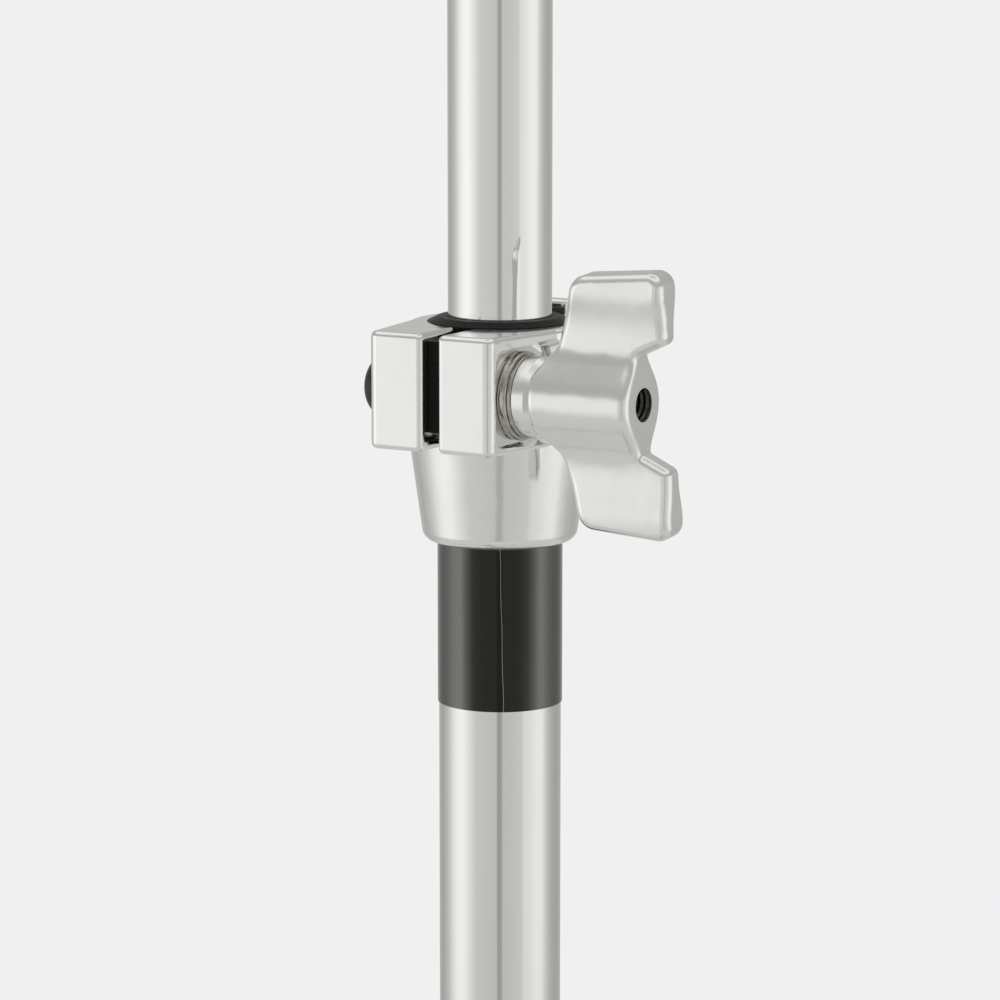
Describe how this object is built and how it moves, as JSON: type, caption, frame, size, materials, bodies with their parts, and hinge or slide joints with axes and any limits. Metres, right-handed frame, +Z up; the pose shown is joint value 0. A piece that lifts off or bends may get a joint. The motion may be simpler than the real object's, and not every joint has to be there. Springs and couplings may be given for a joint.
{
  "type": "hi hat stand",
  "caption": "Hi-hat cymbal stand with a clamped height tube, wing nut, pull rod, footboard pedal, folding tripod legs, cymbal seat and clutch.",
  "frame": {"origin": "on the floor under the tube's axis", "axes": "+Z up along the tube, the pedal towards -Y, the height clamp's wing nut towards +X"},
  "size_m": [0.6098, 0.6994, 1.01],
  "materials": {
    "chrome_tube": "polished",
    "chrome_casting": "polished",
    "zinc_steel": "satin",
    "black_steel": "black oxide",
    "cast_aluminium": "satin",
    "black_nylon": "matt",
    "brass_pad": "plain",
    "label_film": "glossy",
    "black_rubber": "matt",
    "felt": "felt"
  },
  "bodies": {
    "stand": {"lower_tube": "chrome_tube", "label_band": "label_film", "height_clamp": "chrome_casting", "clamp_roll_pin": "zinc_steel", "clamp_bushing": "black_nylon", "clamp_bolt": "black_steel", "base_frame": "chrome_casting", "socket_bolt": "zinc_steel", "frame_pads": "black_rubber", "tie_rod_left": "zinc_steel", "tie_rod_right": "zinc_steel", "heel_plate": "cast_aluminium", "heel_pad": "black_rubber", "heel_pin": "zinc_steel", "return_spring": "zinc_steel"},
    "clamp_washers": {"clamp_washer": "zinc_steel", "spring_washer": "zinc_steel"},
    "wing_nut": {"height_wing_nut": "chrome_casting"},
    "upper_section": {"upper_tube": "chrome_tube", "tube_guide": "black_nylon", "tube_cap": "chrome_casting", "seat_base": "chrome_casting", "seat_hinge_pin": "zinc_steel"},
    "tilter_point": {"tilter_tip": "black_nylon"},
    "tilter": {"tilter_screw": "chrome_casting"},
    "cymbal_seat": {"seat_cup": "black_nylon", "seat_felt": "felt"},
    "leg_collar": {"leg_hub": "chrome_casting", "leg_pin_rear": "zinc_steel", "leg_pin_right": "zinc_steel", "leg_pin_left": "zinc_steel"},
    "rear_leg": {"leg_rear": "chrome_tube", "foot_rear": "black_rubber"},
    "right_leg": {"leg_right": "chrome_tube", "foot_right": "black_rubber"},
    "left_leg": {"leg_left": "chrome_tube", "foot_left": "black_rubber"},
    "collar_pad": {"hub_pad": "black_nylon"},
    "collar_bolt": {"hub_wing_bolt": "chrome_casting"},
    "pedal": {"footboard": "cast_aluminium", "toe_clip": "zinc_steel", "toe_pin": "zinc_steel"},
    "pull_rod": {"rod_yoke": "chrome_casting", "lower_pull_rod": "chrome_tube", "upper_pull_rod": "chrome_tube", "rod_coupling": "zinc_steel", "rod_collar": "zinc_steel"},
    "chain": {"chain_link_upper": "zinc_steel", "chain_link_middle": "zinc_steel", "chain_link_lower": "zinc_steel"},
    "spring_support": {"spring_seat": "black_nylon", "tension_studs": "zinc_steel"},
    "tension_ring": {"tension_knob": "chrome_casting"},
    "clutch": {"clutch_body": "chrome_casting", "clutch_top_nut": "chrome_casting", "clutch_felt_upper": "felt"},
    "rod_pad": {"clutch_pad": "brass_pad"},
    "clutch_screw": {"clutch_wing_screw": "chrome_casting"},
    "lower_felt": {"clutch_felt_lower": "felt"},
    "clutch_nut": {"clutch_bottom_nut": "chrome_casting"}
  },
  "joints": [
    {"name": "height_slide", "type": "slide", "parent": "stand", "child": "upper_section", "axis": [0, 0, 1], "range_m": [-0.15, 0.008]},
    {"name": "washer_slide", "type": "slide", "parent": "stand", "child": "clamp_washers", "axis": [1, 0, 0], "range_m": [0, 0.00125]},
    {"name": "wing_nut_turn", "type": "hinge", "parent": "clamp_washers", "child": "wing_nut", "pos_m": [0.03, -0.0169, 0.598], "axis": [1, 0, 0], "range_deg": [0, 361]},
    {"name": "collar_slide", "type": "slide", "parent": "stand", "child": "leg_collar", "axis": [0, 0, 1], "range_m": [0, 0.12]},
    {"name": "rear_leg_fold", "type": "hinge", "parent": "leg_collar", "child": "rear_leg", "pos_m": [0, 0.031, 0.276], "axis": [-1, 0, 0], "range_deg": [0, 35]},
    {"name": "right_leg_fold", "type": "hinge", "parent": "leg_collar", "child": "right_leg", "pos_m": [0.02685, -0.0155, 0.276], "axis": [0.5, 0.866, 0], "range_deg": [0, 35]},
    {"name": "left_leg_fold", "type": "hinge", "parent": "leg_collar", "child": "left_leg", "pos_m": [-0.02685, -0.0155, 0.276], "axis": [0.5, -0.866, 0], "range_deg": [0, 35]},
    {"name": "collar_pad_slide", "type": "slide", "parent": "leg_collar", "child": "collar_pad", "axis": [0.866, 0.5, 0], "range_m": [0, 0.00125]},
    {"name": "collar_bolt_turn", "type": "hinge", "parent": "collar_pad", "child": "collar_bolt", "pos_m": [0.02598, 0.015, 0.287], "axis": [0.866, 0.5, 0], "range_deg": [0, 361]},
    {"name": "pedal_press", "type": "hinge", "parent": "stand", "child": "pedal", "pos_m": [0, -0.262, 0.016], "axis": [-1, 0, 0], "range_deg": [0, 8], "stiffness_Nm_per_rad": 8, "springref_deg": -34.38},
    {"name": "pull_rod_slide", "type": "slide", "parent": "stand", "child": "pull_rod", "axis": [0, 0, -1], "range_m": [0, 0.0386], "deforming": ["return_spring"]},
    {"name": "chain_swing", "type": "hinge", "parent": "pull_rod", "child": "chain", "pos_m": [0, 0, 0.14171], "axis": [1, 0, 0], "range_deg": [0, 14.4]},
    {"name": "spring_seat_slide", "type": "slide", "parent": "stand", "child": "spring_support", "axis": [0, 0, 1], "range_m": [-0.0076, 0.0076], "deforming": ["return_spring"]},
    {"name": "tension_turn", "type": "hinge", "parent": "spring_support", "child": "tension_ring", "pos_m": [0, 0, 0.193], "axis": [0, 0, 1], "range_deg": [-1800, 1800]},
    {"name": "clutch_slide", "type": "slide", "parent": "pull_rod", "child": "clutch", "axis": [0, 0, 1], "range_m": [-0.006, 0.03]},
    {"name": "rod_pad_slide", "type": "slide", "parent": "clutch", "child": "rod_pad", "axis": [1, 0, 0], "range_m": [0, 0.001]},
    {"name": "clutch_screw_turn", "type": "hinge", "parent": "rod_pad", "child": "clutch_screw", "pos_m": [0.018, 0, 0.964], "axis": [1, 0, 0], "range_deg": [0, 361]},
    {"name": "lower_felt_slide", "type": "slide", "parent": "clutch", "child": "lower_felt", "axis": [0, 0, -1], "range_m": [0, 0.002]},
    {"name": "clutch_nut_turn", "type": "hinge", "parent": "lower_felt", "child": "clutch_nut", "pos_m": [0, 0, 0.911], "axis": [0, 0, -1], "range_deg": [0, 721]},
    {"name": "tilter_point_slide", "type": "slide", "parent": "upper_section", "child": "tilter_point", "axis": [0, 0, 1], "range_m": [0, 0.002]},
    {"name": "tilter_turn", "type": "hinge", "parent": "tilter_point", "child": "tilter", "pos_m": [0.019, 0, 0.8], "axis": [0, 0, 1], "range_deg": [0, 721]},
    {"name": "seat_tilt", "type": "hinge", "parent": "upper_section", "child": "cymbal_seat", "pos_m": [-0.017, 0, 0.8206], "axis": [0, -1, 0], "range_deg": [0, 3.3]}
  ],
  "couplings": [
    {"joint": "wing_nut_turn", "follows": "washer_slide", "rad_per_m": 5026.5},
    {"joint": "collar_bolt_turn", "follows": "collar_pad_slide", "rad_per_m": 5026.5},
    {"joint": "pull_rod_slide", "follows": "pedal_press", "m_per_rad": 0.2755},
    {"joint": "chain_swing", "follows": "pedal_press", "ratio": 1.775},
    {"joint": "spring_seat_slide", "follows": "tension_turn", "m_per_rad": 0.00023873},
    {"joint": "clutch_screw_turn", "follows": "rod_pad_slide", "rad_per_m": 6283.2},
    {"joint": "clutch_nut_turn", "follows": "lower_felt_slide", "rad_per_m": 6283.2},
    {"joint": "tilter_turn", "follows": "tilter_point_slide", "rad_per_m": 6283.2},
    {"joint": "seat_tilt", "follows": "tilter_point_slide", "rad_per_m": 28.274}
  ]
}
